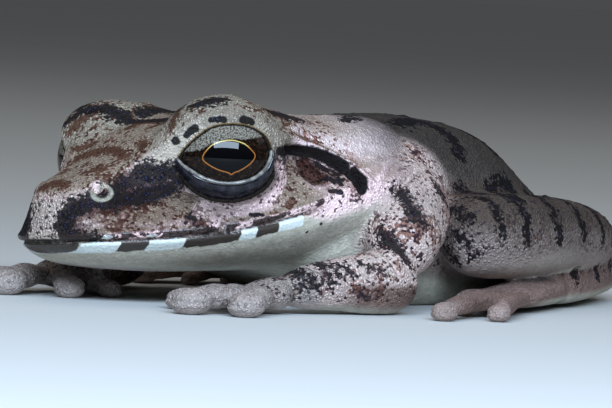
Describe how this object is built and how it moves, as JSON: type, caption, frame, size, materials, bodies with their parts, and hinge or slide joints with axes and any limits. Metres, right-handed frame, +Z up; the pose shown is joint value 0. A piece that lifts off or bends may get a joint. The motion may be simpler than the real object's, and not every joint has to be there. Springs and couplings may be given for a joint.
{
  "type": "frog model",
  "caption": "Life-size still model of a brown tree frog, crouched with folded limbs, round toe discs and large eyes.",
  "frame": {"origin": "on the floor below the middle of the model's bounding box", "axes": "-X the way the trunk faces (snout end), +X towards the vent, +Y the frog's right, +Z up from the floor"},
  "size_m": [0.0688, 0.0474, 0.0172],
  "materials": {
    "head": "moist skin, finely grained, satin",
    "pale": "moist pale throat skin, satin",
    "trunk": "moist skin, finely grained, satin",
    "limb": "moist skin with dark bars, satin",
    "digit": "smooth moist skin, satin",
    "eye": "wet and glossy"
  },
  "bodies": {
    "root": {"trunk": "trunk", "head": "head", "lower_jaw": "pale", "eye_left": "eye", "eye_right": "eye", "upper_arm_left": "limb", "upper_arm_right": "limb", "forearm_left": "limb", "forearm_right": "limb", "hand_left": "digit", "hand_right": "digit", "thigh_left": "limb", "thigh_right": "limb", "shank_left": "limb", "shank_right": "limb", "tarsus_left": "limb", "tarsus_right": "limb", "foot_left": "digit", "foot_right": "digit"}
  },
  "joints": []
}
